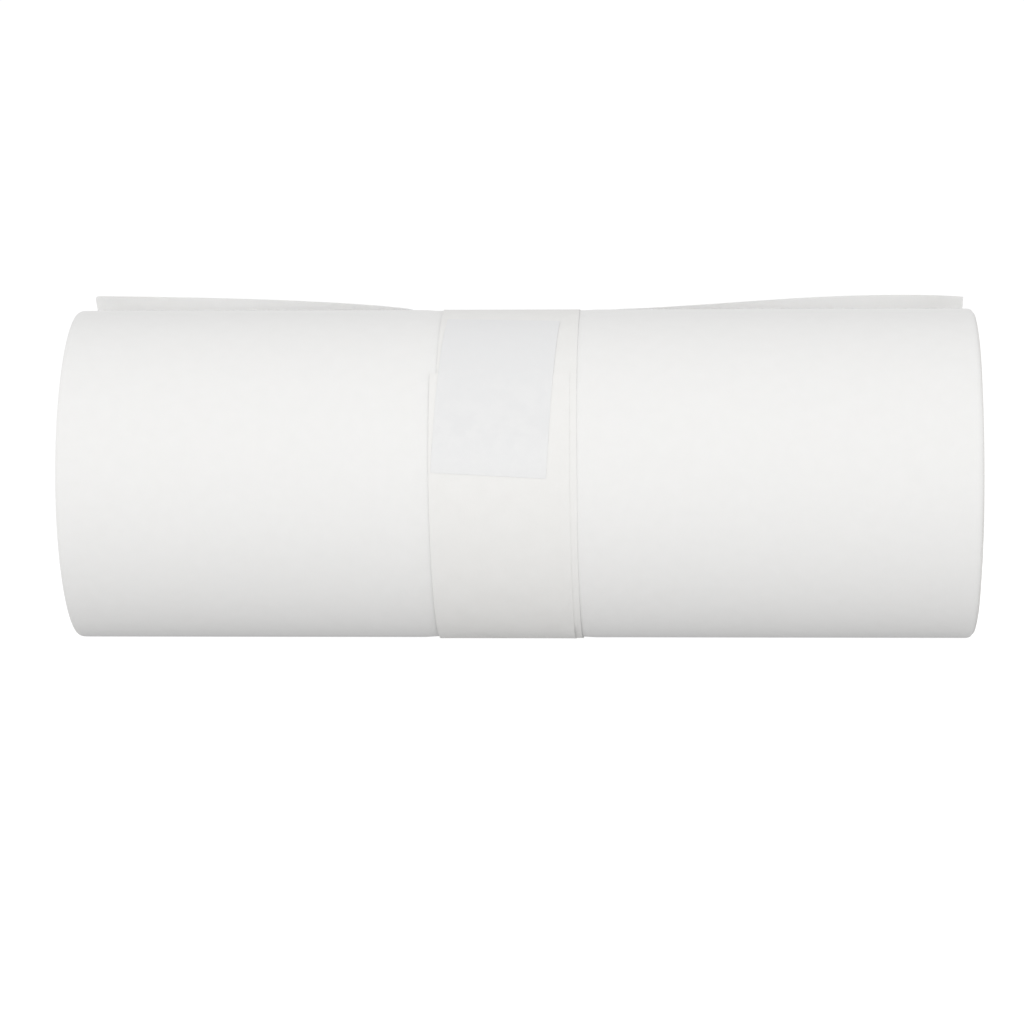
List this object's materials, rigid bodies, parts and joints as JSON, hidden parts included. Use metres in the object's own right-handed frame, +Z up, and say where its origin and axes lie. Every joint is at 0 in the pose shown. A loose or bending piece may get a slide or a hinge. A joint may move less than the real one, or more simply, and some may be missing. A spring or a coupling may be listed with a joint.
{
  "type": "backdrop paper roll",
  "caption": "Short fat roll of white backdrop paper on a cardboard core, its free end springing up behind the top, held by a taped paper band round the middle.",
  "frame": {"origin": "middle of the underside of the whole object's box, on the surface the roll lies on", "axes": "+X along the roll's axis, to the right seen from the front; -Y towards the front, where the band is taped; +Z up"},
  "size_m": [0.4024, 0.1504, 0.1553],
  "materials": {
    "backdrop_paper": "matt uncoated white",
    "band_paper": "matt uncoated white",
    "frosted_tape": "frosted, half clear",
    "core_cardboard": "raw grey-brown board",
    "start_tape": "brown paper tape"
  },
  "bodies": {
    "roll": {"core_tube": "core_cardboard", "core_start_tape": "start_tape", "wound_paper": "backdrop_paper", "outer_turn": "backdrop_paper", "tail_flap": "backdrop_paper"},
    "band": {"paper_band": "band_paper", "closure_tape": "frosted_tape"}
  },
  "joints": [
    {"name": "band_slide", "type": "slide", "parent": "roll", "child": "band", "axis": [-1, 0, 0], "range_m": [0, 0.235], "deforming": ["tail_flap"]}
  ]
}
